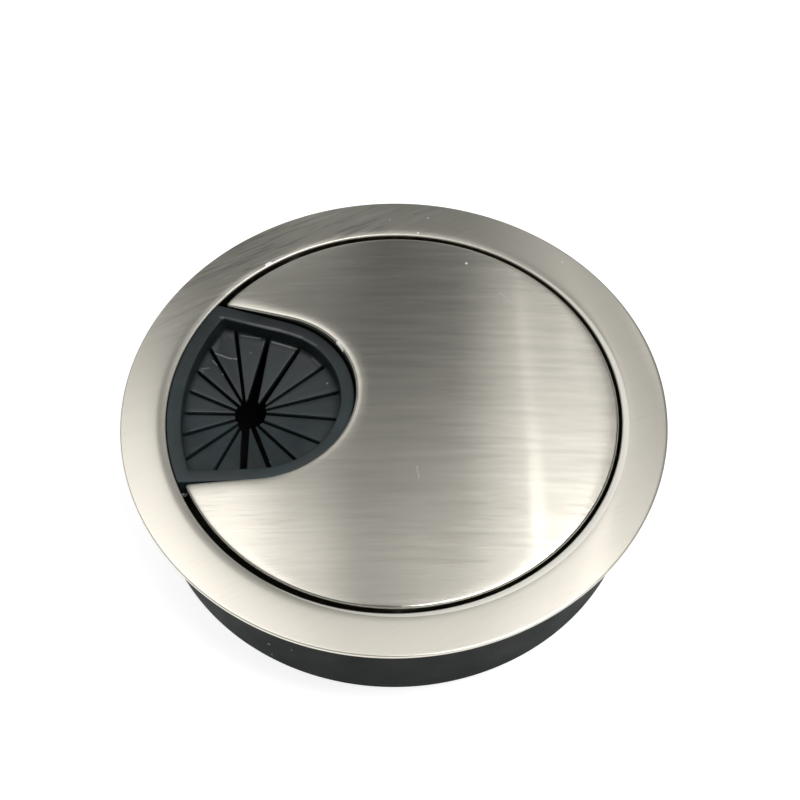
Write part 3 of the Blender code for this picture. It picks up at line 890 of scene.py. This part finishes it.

# Painted highlight on the edge of the ring's mouth. It is widest and palest on one side.
HIGHLIGHT_SIDE = (0.91, -0.42, 0.0)
HIGHLIGHT_WIDENING = 0.026
HIGHLIGHT_FADE = (0.00010, 0.00032)
HIGHLIGHT_DEPTH = (0.00055, 0.00035)
HIGHLIGHT_REACH = (0.010, 0.032)
HIGHLIGHT_COLOUR = (0.74, 0.71, 0.645)
BRIGHTEST_HIGHLIGHT_COLOUR = (0.94, 0.91, 0.84)


def toned(colour, factor):
    return tuple(channel * factor for channel in colour)


def mouth_highlight(tree, coords):
    """A mask of the painted highlight on the edge of the ring's mouth, and the highlight's colour.
    """
    parts = separated(tree, coords)
    radius = vector_node(tree, "LENGTH", combined(tree, parts["X"], parts["Y"], 0.0))
    side = vector_node(tree, "DOT_PRODUCT", coords, HIGHLIGHT_SIDE)
    widening = math_node(tree, "MULTIPLY", math_node(tree, "MAXIMUM", side, 0.0), HIGHLIGHT_WIDENING)
    inner = math_node(tree, "SUBTRACT", radius, widening)
    full, gone = (OPENING_RADIUS + width for width in HIGHLIGHT_FADE)
    near_mouth = map_range(tree, inner, full, gone, 1.0, 0.0)
    low, high = (TOP_LEVEL - depth for depth in HIGHLIGHT_DEPTH)
    on_top = map_range(tree, parts["Z"], low, high, 0.0, 1.0)
    paleness = map_range(tree, side, *HIGHLIGHT_REACH, 0.0, 1.0)
    colour = mix_colour(tree, paleness, HIGHLIGHT_COLOUR, BRIGHTEST_HIGHLIGHT_COLOUR)
    return math_node(tree, "MULTIPLY", near_mouth, on_top), colour


def lines_in(tree, lines, tails, strength, weight):
    """The dark and the light lines that the two tails of a noise draw."""
    both = []
    for start, full, most in tails:
        tail = map_range(tree, lines, start, full, 0.0, most * strength)
        both.append(math_node(tree, "MULTIPLY", tail, weight))
    return both


def brushed_nickel(
    name,
    base,
    brush_angle,
    roughness,
    anisotropy,
    offset,
    grain,
    scratched,
    scratch_share,
    marks,
    painted_highlight=None,
):
    """Nickel plate brushed in one direction, which spreads reflections across the brush lines."""
    material, tree, shader = new_material(name, base, roughness, 1.0)
    coords = texture_place(tree)
    rotation = {"Vector": coords, "Angle": -brush_angle}
    brushed = add_node(tree, "ShaderNodeVectorRotate", rotation, rotation_type="Z_AXIS").outputs[0]
    fine = streaks(tree, brushed, FINE_STREAKS, offset)
    medium = streaks(tree, brushed, MEDIUM_STREAKS, offset)
    broad = streaks(tree, brushed, BROAD_STREAKS, offset)
    cloud = noise(tree, coords, CLOUD_SCALE, 3.0)
    tone = add_up(tree, zip((fine, medium, broad, cloud), TONE_SHARES))
    share = map_range(tree, tone, *NARROW_RANGE, 0.0, 1.0)
    swing = TONE_SWING * grain
    colour = mix_colour(tree, share, toned(base, 1 - swing), toned(base, 1 + swing))
    # Sparse short hairlines that crowd where the plate has been handled
    hair = streaks(tree, brushed, HAIRLINES, offset)
    patch = noise(tree, coords, PATCH_SCALE, 1.0)
    handled = map_range(tree, patch, *PATCH_RANGE, LEAST_HANDLED, 1.0)
    dark_hair, light_hair = lines_in(tree, hair, HAIRLINE_TAILS, grain, handled)
    # A part of the plate that is scratched harder than the rest
    away = vector_node(tree, "DISTANCE", coords, scratched)
    hard = map_range(tree, away, *SCRATCHED_REACH, scratch_share, 0.0)
    scratch = streaks(tree, brushed, SCRATCHES, offset)
    dark_scratch, light_scratch = lines_in(tree, scratch, SCRATCH_TAILS, 1, hard)
    dark = math_node(tree, "ADD", dark_hair, dark_scratch, clamp=True)
    light = math_node(tree, "ADD", light_hair, light_scratch, clamp=True)
    colour = mix_colour(tree, dark, colour, DARK_LINE)
    colour = mix_colour(tree, light, colour, LIGHT_LINE)
    mask = marks_and_highlights_mask(tree, coords, marks, METAL_RAGGEDNESS)
    marks_and_highlight = mask
    # The ring's mouth gets a painted highlight, pale and rough, over the plate's colour
    if painted_highlight:
        band, painted_highlight_colour = painted_highlight(tree, coords)
        colour = mix_colour(tree, band, colour, painted_highlight_colour)
        marks_and_highlight = math_node(tree, "MAXIMUM", mask, band)
    colour = mix_colour(tree, mask, colour, METAL_MARK)
    swing = ROUGHNESS_SWING * grain
    rough = map_range(tree, medium, *MIDDLE_RANGE, roughness - swing, roughness + swing)
    height = add_up(tree, zip((fine, medium), BUMP_SHARES))
    relief = {"Height": height, "Strength": 1.0, "Distance": BUMP_HEIGHT * grain}
    bump = add_node(tree, "ShaderNodeBump", relief).outputs[0]
    across = brush_angle + math.pi / 2
    tangent = combined(tree, math.cos(across), math.sin(across), 0.0)
    gloss = add_node(tree, "ShaderNodeBsdfPrincipled", {})
    lobes = ((shader, rough, anisotropy), (gloss, GLOSS_ROUGHNESS, 1.0))
    for lobe, own_roughness, own_anisotropy in lobes:
        looks = {
            "Base Color": colour,
            "Roughness": mix_number(tree, marks_and_highlight, own_roughness, BARE_ROUGHNESS),
            "Anisotropic": mix_number(tree, marks_and_highlight, own_anisotropy, 0.0),
            "Metallic": mix_number(tree, mask, 1.0, 0.0),
            "Normal": bump,
            "Tangent": tangent,
        }
        for key, value in looks.items():
            set_input(tree, lobe.inputs[key], value)
    parts = {0: GLOSS_SHARE, 1: shader.outputs[0], 2: gloss.outputs[0]}
    both = add_node(tree, "ShaderNodeMixShader", parts)
    set_input(tree, tree.nodes["Material Output"].inputs["Surface"], both.outputs[0])
    return material


# Black mouldings

SLEEVE_COLOUR = (0.0086, 0.0125, 0.0108)
INSERT_COLOUR = (0.0175, 0.0250, 0.0275)
# Moulded surfaces are a little browner in some places and a little greener in others
BROWN_TINT = (1.08, 0.99, 0.96)
TEAL_TINT = (0.82, 1.05, 1.04)
TINT_SCALE = 110.0
SHADE_SCALE = 170.0
SHADE_SWING = 0.18
# Colour of the sleeve's dust specks and of the insert's marks and painted highlights
MOULDED_MARK_AND_HIGHLIGHT = (0.30, 0.32, 0.31)
MOULDED_RAGGEDNESS = 0.00008
MOULDED_GRAIN_HEIGHT = 0.00002
MOULDED_GRAIN_STRENGTH = 0.5
# How far the roughness goes below and above its middle
ROUGHNESS_DROP = 0.06
ROUGHNESS_RISE = 0.08
# Painted shade: the far side of a piece darkens between these places along the Y axis
FAR_SHADE_SPAN = (0.002, 0.012)


def tinted(colour, tint):
    return tuple(channel * factor for channel, factor in zip(colour, tint))


def moulded_black(name, colour, roughness, specular, grain, marks, far_shade_tone=1.0):
    """Black plastic or rubber with a fine grain, faint marks, and painted shade that darkens its
    far side.
    """
    material, tree, shader = new_material(name, colour, roughness, 0.0)
    coords = texture_place(tree)
    tint = map_range(tree, noise(tree, coords, TINT_SCALE, 2.0), *NARROW_RANGE, 0.0, 1.0)
    base = mix_colour(tree, tint, tinted(colour, BROWN_TINT), tinted(colour, TEAL_TINT))
    # Painted shade that darkens the far side of the piece
    far = map_range(tree, separated(tree, coords)["Y"], *FAR_SHADE_SPAN, 1.0, far_shade_tone)
    cloud = noise(tree, coords, SHADE_SCALE, 4.0)
    shade = map_range(tree, cloud, *MIDDLE_RANGE, 1 - SHADE_SWING, 1 + SHADE_SWING)
    base = vector_node(tree, "SCALE", base, math_node(tree, "MULTIPLY", shade, far))
    # Marks, and on the insert also painted highlights, mixed into the colour
    mask = marks_and_highlights_mask(tree, coords, marks, MOULDED_RAGGEDNESS)
    relief = {
        "Height": noise(tree, coords, grain, 4.0),
        "Strength": MOULDED_GRAIN_STRENGTH,
        "Distance": MOULDED_GRAIN_HEIGHT,
    }
    least, most = roughness - ROUGHNESS_DROP, roughness + ROUGHNESS_RISE
    looks = {
        "Base Color": mix_colour(tree, mask, base, MOULDED_MARK_AND_HIGHLIGHT),
        "Specular IOR Level": specular,
        "Roughness": map_range(tree, cloud, *WIDE_RANGE, least, most),
        "Normal": add_node(tree, "ShaderNodeBump", relief).outputs[0],
    }
    for key, value in looks.items():
        set_input(tree, shader.inputs[key], value)
    return material


# Camera, floor and world

def place_object(name, data, axes, place):
    """An object in the scene with these three axes, at this place."""
    made = bpy.data.objects.new(name, data)
    bpy.context.scene.collection.objects.link(made)
    made.matrix_world = Matrix.Translation(place) @ Matrix(axes).transposed().to_4x4()
    return made


def make_camera():
    """The photograph's view, found from the ellipses of the flange, the mouth and the sleeve."""
    turn = Matrix.Rotation(VIEW_TURN, 3, "Z")
    right = Vector((1, 0, 0))
    forward = Vector((0, math.cos(VIEW_ELEVATION), -math.sin(VIEW_ELEVATION)))
    up = Vector((0, math.sin(VIEW_ELEVATION), math.cos(VIEW_ELEVATION)))
    cosine, sine = math.cos(VIEW_ROLL), math.sin(VIEW_ROLL)
    rolled_right = cosine * right + sine * up
    rolled_up = -sine * right + cosine * up
    axes = (turn @ rolled_right, turn @ rolled_up, turn @ -forward)
    data = bpy.data.cameras.new("camera")
    data.lens = VIEW_LENS
    data.sensor_width = VIEW_SENSOR
    data.shift_x = (PHOTO_SIZE / 2 - PHOTO_MIDDLE[0]) / PHOTO_SIZE
    data.shift_y = (PHOTO_MIDDLE[1] - PHOTO_SIZE / 2) / PHOTO_SIZE
    data.clip_start = 0.01
    place = VIEW_TARGET + axes[2] * VIEW_DISTANCE
    bpy.context.scene.camera = place_object("camera", data, axes, place)


FLOOR_RADIUS = 3.0
FLOOR_GREY = (0.5, 0.5, 0.5)
FLOOR_ROUGHNESS = 0.9
FLOOR_GLOW = 0.82
# Painted shade: inside the tube the floor is near black, dark as under a desk
DARK_RADIUS = LOWER_BORE_RADIUS + 0.001
PAINTED_SHADE_GREY = (0.01, 0.01, 0.01)


def make_floor():
    bm = bmesh.new()
    bmesh.ops.create_circle(bm, cap_ends=True, radius=FLOOR_RADIUS, segments=64)
    mesh = bpy.data.meshes.new("floor")
    bm.to_mesh(mesh)
    bm.free()
    floor = bpy.data.objects.new("floor", mesh)
    bpy.context.scene.collection.objects.link(floor)
    material, tree, shader = new_material("floor_white", FLOOR_GREY, FLOOR_ROUGHNESS, 0.0)
    shader.inputs["Specular IOR Level"].default_value = 0.0
    path = add_node(tree, "ShaderNodeLightPath", {}).outputs
    seen = math_node(tree, "MAXIMUM", path["Is Camera Ray"], path["Is Glossy Ray"])
    seen = math_node(tree, "MAXIMUM", seen, path["Is Transmission Ray"])
    from_axis = vector_node(tree, "LENGTH", texture_place(tree))
    outside = math_node(tree, "GREATER_THAN", from_axis, DARK_RADIUS)
    # Inside the tube the floor's colour is painted shade
    grey_with_painted_shade = mix_colour(tree, outside, PAINTED_SHADE_GREY, FLOOR_GREY)
    set_input(tree, shader.inputs["Base Color"], grey_with_painted_shade)
    strength = math_node(tree, "MULTIPLY", math_node(tree, "MULTIPLY", seen, outside), FLOOR_GLOW)
    glow = add_node(tree, "ShaderNodeEmission", {"Color": (1, 1, 1), "Strength": strength})
    both = add_node(tree, "ShaderNodeAddShader", {0: shader.outputs[0], 1: glow.outputs[0]})
    set_input(tree, tree.nodes["Material Output"].inputs["Surface"], both.outputs[0])
    mesh.materials.append(material)


STUDIO_COLOUR = (0.93, 1.0, 0.97)
HORIZON_STRENGTH = 0.85
TOP_STRENGTH = 0.10
# The pale band along the horizon is higher on the near side than beyond the part
NEAR_SIDE = (0.14, -0.99, 0.0)
FAR_BAND_HEIGHT = 0.42
NEAR_BAND_HEIGHT = 0.75


def make_world():
    """A dim studio: a pale horizon that darkens upwards, so that metal shows the softboxes."""
    world = bpy.data.worlds.new("studio")
    bpy.context.scene.world = world
    world.use_nodes = True
    tree = world.node_tree
    direction = texture_place(tree, "Generated")
    height = separated(tree, direction)["Z"]
    nearness = vector_node(tree, "DOT_PRODUCT", direction, NEAR_SIDE)
    band = map_range(tree, nearness, 0.0, 1.0, FAR_BAND_HEIGHT, NEAR_BAND_HEIGHT)
    strength = map_range(tree, height, 0.0, band, HORIZON_STRENGTH, TOP_STRENGTH)
    background = tree.nodes["Background"]
    set_input(tree, background.inputs["Color"], STUDIO_COLOUR)
    set_input(tree, background.inputs["Strength"], strength)


# Lamps

# Softboxes on one panel that faces the part from beyond it, where the metal mirrors it to the
# camera: left edge, right edge, lower edge and upper edge in metres from the panel's middle, and
# power in watts
SOFTBOXES = {
    "softbox_high": (0.12, 0.30, 0.24, 0.48, 1.92),
    "softbox_top": (0.03, 0.12, 0.36, 0.48, 0.61),
    "softbox_left": (-0.42, -0.09, 0.0, 0.36, 0.42),
    "softbox_right": (0.12, 0.24, 0.12, 0.24, 0.05),
    "softbox_tall": (0.06, 0.138, -0.12, 0.48, 0.085),
    "softbox_wide": (-0.15, 0.15, 0.0, 0.24, 0.046),
    "softbox_near": (-0.18, -0.05, 0.055, 0.14, 0.018),
    "softbox_column": (-0.12, -0.05, 0.10, 0.36, 0.060),
    "softbox_middle": (-0.06, 0.03, 0.09, 0.24, 0.022),
    "softbox_under": (-0.09, -0.03, -0.40, -0.12, 0.015),
    "softbox_corner": (-0.19, -0.12, 0.07, 0.20, 0.021),
    "softbox_side": (-0.17, -0.10, -0.08, 0.02, 0.012),
}
# Narrow strips for the bright lines on the lid: both ends in metres from the panel's middle, width
# in metres and power in watts
STRIPS = {
    "strip_inner": ((0.0762, -0.11), (0.0910, 0.045), 0.006, 0.0014),
    "strip_inner_near": ((0.0905, 0.04), (0.1010, 0.13), 0.008, 0.0042),
    "strip_outer": ((0.104, -0.075), (0.1325, 0.0), 0.006, 0.0013),
    "strip_outer_near": ((0.1335, 0.0), (0.1250, 0.085), 0.008, 0.0014),
}

PANEL_TARGET = Vector((0, 0, 0.0195))
PANEL_DISTANCE = 0.358
# Each softbox stands this far behind the one before, and each strip this far in front, so that
# none hides another
PANEL_STEP = 0.002
# Every lamp fades out at its edges, over this far on both sides of the edge
SOFTBOX_FADE = 0.025
STRIP_FADE = 0.003


def panel_axes():
    turn = Matrix.Rotation(VIEW_TURN, 3, "Z")
    outward = turn @ Vector((0, math.cos(VIEW_ELEVATION), math.sin(VIEW_ELEVATION)))
    across = turn @ Vector((1, 0, 0))
    upward = across.cross(outward)
    return across, upward, outward


def faded(tree, place, share):
    """1 in the middle of a lamp and 0 at both edges, for one of its two directions."""
    from_edge = math_node(tree, "MINIMUM", place, math_node(tree, "SUBTRACT", 1.0, place))
    return map_range(tree, from_edge, 0.0, share, 0.0, 1.0, "SMOOTHSTEP")


def add_lamp(name, place, axes, width, height, power, fade):
    """A lamp that faces the part and fades out across its edges."""
    data = bpy.data.lights.new(name, "AREA")
    data.shape = "RECTANGLE"
    data.size = width + 2 * fade
    data.size_y = height + 2 * fade
    data.energy = power * data.size * data.size_y / (width * height)
    data.use_nodes = True
    tree = data.node_tree
    on_lamp = add_node(tree, "ShaderNodeNewGeometry", {}).outputs["Parametric"]
    parts = separated(tree, on_lamp)
    across = faded(tree, parts["X"], 2 * fade / data.size)
    upward = faded(tree, parts["Y"], 2 * fade / data.size_y)
    strength = math_node(tree, "MULTIPLY", across, upward)
    set_input(tree, tree.nodes["Emission"].inputs["Strength"], strength)
    place_object(name, data, axes, place).visible_camera = False


def make_lamps():
    across, upward, outward = panel_axes()
    distance = PANEL_DISTANCE
    for name, (left, right, lower, upper, power) in SOFTBOXES.items():
        place = PANEL_TARGET + outward * distance
        place += across * (left + right) / 2
        place += upward * (lower + upper) / 2
        axes = (across, -upward, outward)
        add_lamp(name, place, axes, right - left, upper - lower, power, SOFTBOX_FADE)
        distance += PANEL_STEP
    distance = PANEL_DISTANCE
    for name, (lower, upper, width, power) in STRIPS.items():
        distance -= PANEL_STEP
        start = across * lower[0] + upward * lower[1]
        end = across * upper[0] + upward * upper[1]
        along = (end - start).normalized()
        place = PANEL_TARGET + outward * distance + (start + end) / 2
        axes = (along.cross(outward), along, outward)
        add_lamp(name, place, axes, width, (end - start).length, power, STRIP_FADE)


# The scene

ring_brushed = brushed_nickel(
    "ring_brushed",
    toned(NICKEL, RING_TONE),
    RING_BRUSH,
    roughness=0.28,
    anisotropy=0.82,
    offset=1.0,
    grain=0.25,
    scratched=RING_SCRATCHED,
    scratch_share=1.0,
    marks=RING_MARKS,
    painted_highlight=mouth_highlight,
)
lid_brushed = brushed_nickel(
    "lid_brushed",
    NICKEL,
    LID_BRUSH,
    roughness=0.26,
    anisotropy=0.97,
    offset=5.0,
    grain=0.9,
    scratched=LID_SCRATCHED,
    scratch_share=0.05,
    marks=LID_MARKS,
)
sleeve_moulded = moulded_black(
    "sleeve_moulded",
    SLEEVE_COLOUR,
    roughness=0.5,
    specular=0.08,
    grain=9000.0,
    marks=SLEEVE_MARKS,
)
insert_moulded = moulded_black(
    "insert_moulded",
    INSERT_COLOUR,
    roughness=0.42,
    specular=0.5,
    grain=12000.0,
    marks=INSERT_MARKS_AND_HIGHLIGHTS,
    # The far side of the well gets painted shade
    far_shade_tone=0.55,
)
make_ring(ring_brushed)
make_sleeve(sleeve_moulded)
make_lid(lid_brushed)
make_insert(insert_moulded)
make_camera()
make_floor()
make_lamps()
make_world()
bpy.context.scene.view_settings.view_transform = "Standard"
